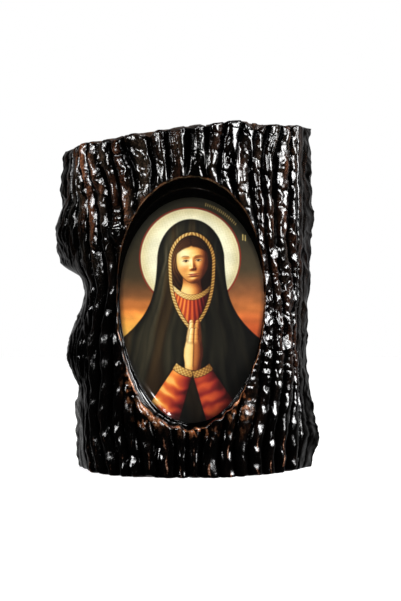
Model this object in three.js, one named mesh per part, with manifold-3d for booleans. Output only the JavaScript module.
// A souvenir icon panel: a slab sawn off a small log with its bark left on, standing on its sawn
// base, with an oval dish cut into the round front and an oval picture print set in the dish.
// Millimetres, +Z up, the picture faces -Y. The log's own axis is x = 0, y = 0 until the last step.
import * as THREE from "three";
import { mergeVertices } from "three/addons/utils/BufferGeometryUtils.js";
import Module from "manifold-3d";

const wasm = await Module();
wasm.setup();

// Slab
const LOG_RADIUS = 76; // log axis to the bark's crests
const SLAB_DEPTH = 58; // foremost bark to the sawn back, short of the heart
const MID_HEIGHT = 195.6; // base to the top saw cut, above the log axis
const TOP_SLOPE = 0.095; // rise of the top cut towards +X
const TOP_BOW = 0.00035; // the cut is a little crowned, per mm
const BACK_Y = SLAB_DEPTH - LOG_RADIUS;
const HALF_ANGLE = Math.acos(-BACK_Y / LOG_RADIUS); // from the front to the back's corners

// Bark
const RIDGES = 21; // across the front, corner to corner
const FURROW_DEPTH = 3.2;
const FURROW_VARIES = 0.25; // share of the depth that comes and goes along a furrow
const FURROW_WAVE = 69; // height over which it does
const FURROW_SHARPNESS = 3; // higher is narrower
const LUMP_HEIGHT = 0.8; // swelling along each ridge
const LUMP_LENGTH = 15;
const LUMP_LENGTH_VARIES = 5; // from ridge to ridge
const STAGGER = 0.8; // some ridges stand further out than their neighbours
const WORN_EDGE = 1.3; // bevel where the bark meets the saw cuts
const CHIPPED_CORNER = 2.4; // more of it at the base's left corner
const CHIP_START = 0.4; // across the left half, where that begins
const CHIP_FULL = 0.9; // and where it is whole
const CORNER_SHARPNESS = 10; // higher keeps the bark's relief closer to the back's corners
const EDGE_SPREAD = 2; // higher keeps a side edge's swellings closer to the corner

// How the furrows wander sideways: how far in ridges, over what height, slant across, start
const WANDER = [
  { ridges: 0.4, height: 150, slant: 1.6, start: 0.4 },
  { ridges: 0.2, height: 53, slant: -5.1, start: 1.9 },
];
const WANDER_SPREAD = 6; // higher lets them wander closer to the back's corners

// What makes one ridge differ from the next
const TURN = { depth: 1.9, length: 3.7, lump: 2.1, stagger: 5.3 };

// Swellings (+) and hollows (-) of the two side edges: height, reach up and down, how far out
const LEFT_EDGE = [
  { z: 198, reach: 12, out: -3 },
  { z: 138, reach: 13, out: 3 },
  { z: 102, reach: 11, out: -6 },
  { z: 68, reach: 13, out: 5.2 },
  { z: 47, reach: 6, out: -2 },
  { z: 36, reach: 6, out: 1.2 },
];
const RIGHT_EDGE = [
  { z: 150, reach: 9, out: 2.2 },
  { z: 75, reach: 24, out: -2.6 },
  { z: 20, reach: 16, out: 4.6 },
];
const LEFT_STEP = { low: 108, high: 122, out: -9.2 }; // the left edge sits further in below this

// Knots, where the bark closes over a lost branch: across (-1 left corner, 1 right corner),
// height, half width (as across), half height, how far out
const KNOTS = [
  { across: -0.9, z: 141, wide: 0.17, tall: 16, out: 3.2 },
  { across: -0.84, z: 69, wide: 0.15, tall: 17, out: 3.4 },
  { across: -0.4, z: 136, wide: 0.07, tall: 6, out: 2 },
];

// Dish and print
const DISH_DEPTH = 18.5; // from the foremost bark
const DISH_Y = DISH_DEPTH - LOG_RADIUS;
const PRINT_X = 3.6;
const PRINT_Z = 101.6; // where the oval is widest, above its middle
const PRINT_HALF_WIDTH = 40.8;
const PRINT_UPPER = 55.6; // from there to the top
const PRINT_LOWER = 72; // and to the bottom
const PRINT_THICK = 1;
const PRINT_BEVEL = 0.2;
const GAP = 0.3; // between print and dish, all round
const WALL_RUN = 1.4; // how far the dish wall leans out, floor to crest
const WALL_RUN_TOP = 9.5; // further at the top
const WALL_TOP_SHARPNESS = 1.5; // higher keeps that closer to the very top
const WALL_RUN_LOW_LEFT = 3.2; // and at the lower left
const LOW_LEFT_ANGLE = -0.7 * Math.PI;
const LOW_LEFT_SPREAD = 0.55;

// Dish wall, floor to clear of the bark: share of the depth, share of the run
const WALL = [
  { lift: 0, out: 0 },
  { lift: 0.04, out: 0.3 },
  { lift: 0.14, out: 0.47 },
  { lift: 0.32, out: 0.63 },
  { lift: 0.62, out: 0.81 },
  { lift: 1, out: 1 },
  { lift: 1.4, out: 1.17 },
];

// Faceting
const RIDGE_STEPS = 4;
const ROWS = 46;
const BACK_STEPS = 8;
const DISH_SEGMENTS = 72;
const FRONT_STEPS = RIDGES * RIDGE_STEPS;
const SOLVE_STEPS = 6;
const MERGE_WITHIN = 1e-3;

const bump = (at, centre, reach) => Math.exp(-(((at - centre) / reach) ** 2));
const wave = (at, length, start) => Math.sin((2 * Math.PI * at) / length + start);

// How far a side edge stands out from the plain half round at one height.
function edgeOut(side, z) {
  const shape = side < 0 ? LEFT_EDGE : RIGHT_EDGE;
  const waves = shape.reduce((sum, e) => sum + e.out * bump(z, e.z, e.reach), 0);
  const below = 1 - THREE.MathUtils.smoothstep(z, LEFT_STEP.low, LEFT_STEP.high);
  return waves + (side < 0 ? LEFT_STEP.out * below : 0);
}

// How far the furrows wander sideways, counted in ridges.
function wander(across, z) {
  const waves = WANDER.map(
    (w) => w.ridges * wave(z, w.height, w.slant * across + w.start),
  );
  return (waves[0] + waves[1]) * (1 - across ** WANDER_SPREAD);
}

// The place across the bark where a ridge count falls, at one height.
function acrossAt(count, z) {
  let across = (2 * count) / RIDGES - 1;
  for (let i = 0; i < SOLVE_STEPS; i++)
    across = (2 * (count - wander(across, z))) / RIDGES - 1;
  return THREE.MathUtils.clamp(across, -1, 1);
}

const knotAt = (knot, across, z) =>
  bump(across, knot.across, knot.wide) * bump(z, knot.z, knot.tall);

// Bark height over the log's round: ridges with furrows between, lumps along them, and knots.
function barkRelief(count, across, z) {
  const ridge = Math.min(Math.floor(count), RIDGES - 1);
  const furrow = Math.abs(Math.cos(Math.PI * (count - ridge))) ** FURROW_SHARPNESS;
  const come = FURROW_VARIES * (wave(z, FURROW_WAVE, TURN.depth * ridge) - 1);
  const depth = FURROW_DEPTH * (1 + come);
  const length = LUMP_LENGTH + LUMP_LENGTH_VARIES * Math.sin(TURN.length * ridge);
  const lump = LUMP_HEIGHT * wave(z, length, TURN.lump * ridge);
  const stagger = STAGGER * Math.sin(TURN.stagger * ridge);
  const knots = KNOTS.map((knot) => knotAt(knot, across, z));
  const cover = Math.max(...knots);
  const swell = KNOTS.reduce((sum, knot, i) => sum + knot.out * knots[i], 0);
  const ridges = lump + stagger - STAGGER - LUMP_HEIGHT - depth * furrow;
  return ridges * (1 - cover) + swell;
}

// A share of the height under the top saw cut.
const heightAt = (x, share) => share * (MID_HEIGHT + TOP_SLOPE * x - TOP_BOW * x * x);

// A point of the bark, for a ridge count and a share of the height.
function barkPoint(count, share) {
  const plain = LOG_RADIUS * Math.sin(((2 * count) / RIDGES - 1) * HALF_ANGLE);
  const z = heightAt(plain, share);
  const across = acrossAt(count, z);
  const chipped = THREE.MathUtils.smoothstep(-across, CHIP_START, CHIP_FULL);
  const chip = CHIPPED_CORNER * chipped * (1 - share);
  const worn = share === 0 || share === 1 ? WORN_EDGE + chip : 0;
  const corner = 1 - across ** CORNER_SHARPNESS; // the back's corners stay sharp and straight
  const radius = LOG_RADIUS + (barkRelief(count, across, z) - worn) * corner;
  const angle = across * HALF_ANGLE;
  const edge = edgeOut(across, z) * Math.abs(across) ** EDGE_SPREAD;
  const x = radius * Math.sin(angle) + Math.sign(across) * edge;
  const y = Math.min(-radius * Math.cos(angle), BACK_Y);
  return new THREE.Vector3(x, y, heightAt(x, share));
}

// A point of the sawn back, between the bark's two corners.
function backPoint(step, share) {
  const right = barkPoint(RIDGES, share);
  const left = barkPoint(0, share);
  const x = THREE.MathUtils.lerp(right.x, left.x, step / BACK_STEPS);
  return new THREE.Vector3(x, BACK_Y, heightAt(x, share));
}

// Rows are even, apart from a thin one at each saw cut for the worn edge.
function rowShare(row) {
  const last = ROWS - 1;
  if (row === 0 || row === last) return row / last;
  const edge = WORN_EDGE / MID_HEIGHT;
  return THREE.MathUtils.lerp(edge, 1 - edge, (row - 1) / (last - 2));
}

// A closed drum, with each point of its grid moved to the bark or the back.
function slabGeometry() {
  const columns = FRONT_STEPS + BACK_STEPS;
  const drum = new THREE.CylinderGeometry(1, 1, 1, columns, ROWS - 1);
  const places = drum.getAttribute("position");
  const middle = new THREE.Vector3(0, (BACK_Y - LOG_RADIUS) / 2, 0);
  for (let i = 0; i < places.count; i++) {
    const from = new THREE.Vector3().fromBufferAttribute(places, i);
    const row = Math.round((from.y + 0.5) * (ROWS - 1));
    const turn = Math.atan2(from.x, from.z) / (2 * Math.PI);
    const column = Math.round(turn * columns + columns) % columns;
    const share = rowShare(row);
    let to = middle.clone().setZ(share * MID_HEIGHT);
    if (Math.hypot(from.x, from.z) > 0.5)
      to = column <= FRONT_STEPS
        ? barkPoint(column / RIDGE_STEPS, share)
        : backPoint(column - FRONT_STEPS, share);
    places.setXYZ(i, to.x, to.y, to.z);
  }
  return drum;
}

// The oval is two half ellipses that meet where it is widest.
const halfHeight = (angle) => (Math.sin(angle) > 0 ? PRINT_UPPER : PRINT_LOWER);

// How far the dish wall leans out at an angle round the oval (0 at +X, a quarter turn at the top).
function wallRun(angle) {
  const top = WALL_RUN_TOP * Math.max(0, Math.sin(angle)) ** WALL_TOP_SHARPNESS;
  const lowLeft = WALL_RUN_LOW_LEFT * bump(angle, LOW_LEFT_ANGLE, LOW_LEFT_SPREAD);
  return WALL_RUN + top + lowLeft;
}

// The space of the dish: flat oval floor, coved wall that grows steeper, and a front clear of the bark.
function dishGeometry() {
  const profile = WALL.map((step) => new THREE.Vector2(1, step.lift));
  profile.unshift(new THREE.Vector2(0, 0));
  profile.push(new THREE.Vector2(0, WALL.at(-1).lift));
  const dish = new THREE.LatheGeometry(profile, DISH_SEGMENTS);
  const places = dish.getAttribute("position");
  for (let i = 0; i < places.count; i++) {
    const from = new THREE.Vector3().fromBufferAttribute(places, i);
    const angle = Math.atan2(-from.z, from.x);
    const inset = Math.hypot(from.x, from.z);
    const step = WALL.reduce((a, b) =>
      Math.abs(a.lift - from.y) < Math.abs(b.lift - from.y) ? a : b,
    );
    const out = GAP + wallRun(angle) * step.out;
    places.setXYZ(
      i,
      PRINT_X + inset * (PRINT_HALF_WIDTH + out) * Math.cos(angle),
      DISH_Y - from.y * DISH_DEPTH,
      PRINT_Z + inset * (halfHeight(angle) + out) * Math.sin(angle),
    );
  }
  return dish;
}

// The print: an oval card with a soft front edge, just clear of the dish floor.
function printGeometry() {
  const oval = new THREE.Shape();
  const wide = PRINT_HALF_WIDTH - PRINT_BEVEL;
  oval.absellipse(0, 0, wide, PRINT_UPPER - PRINT_BEVEL, 0, Math.PI);
  oval.absellipse(0, 0, wide, PRINT_LOWER - PRINT_BEVEL, Math.PI, 2 * Math.PI);
  const card = new THREE.ExtrudeGeometry(oval, {
    depth: PRINT_THICK - 2 * PRINT_BEVEL,
    bevelEnabled: true,
    bevelThickness: PRINT_BEVEL,
    bevelSize: PRINT_BEVEL,
    bevelSegments: 1,
    curveSegments: DISH_SEGMENTS / 4,
  });
  card.rotateX(Math.PI / 2);
  return card.translate(PRINT_X, DISH_Y - GAP - PRINT_BEVEL, PRINT_Z);
}

// A closed geometry as a solid that can be cut.
function solidOf(geometry) {
  geometry.deleteAttribute("normal");
  geometry.deleteAttribute("uv");
  const merged = mergeVertices(geometry, MERGE_WITHIN);
  return new wasm.Manifold(
    new wasm.Mesh({
      numProp: 3,
      vertProperties: merged.getAttribute("position").array,
      triVerts: new Uint32Array(merged.index.array),
    }),
  );
}

// A solid back as a geometry.
function geometryOf(solid) {
  const { vertProperties, triVerts } = solid.getMesh();
  const geometry = new THREE.BufferGeometry();
  geometry.setAttribute("position", new THREE.BufferAttribute(vertProperties, 3));
  geometry.setIndex(new THREE.BufferAttribute(triVerts, 1));
  geometry.computeVertexNormals();
  return geometry;
}

function pieceOf(name, geometry, look) {
  const piece = new THREE.Mesh(geometry, new THREE.MeshStandardMaterial(look));
  piece.name = name;
  return piece;
}

const slab = geometryOf(solidOf(slabGeometry()).subtract(solidOf(dishGeometry())));
const barkLook = { color: 0x1d0f09, roughness: 0.2, metalness: 0 };
const printLook = { color: 0x6b4a26, roughness: 0.15, metalness: 0 };

const panel = new THREE.Group();
panel.add(pieceOf("log_slab", slab, barkLook));
panel.add(pieceOf("icon_print", printGeometry(), printLook));

// The origin goes to the middle of the base's bounding box.
const box = new THREE.Box3().setFromObject(panel);
const middle = box.getCenter(new THREE.Vector3());
panel.position.set(-middle.x, -middle.y, -box.min.z);

export default panel;
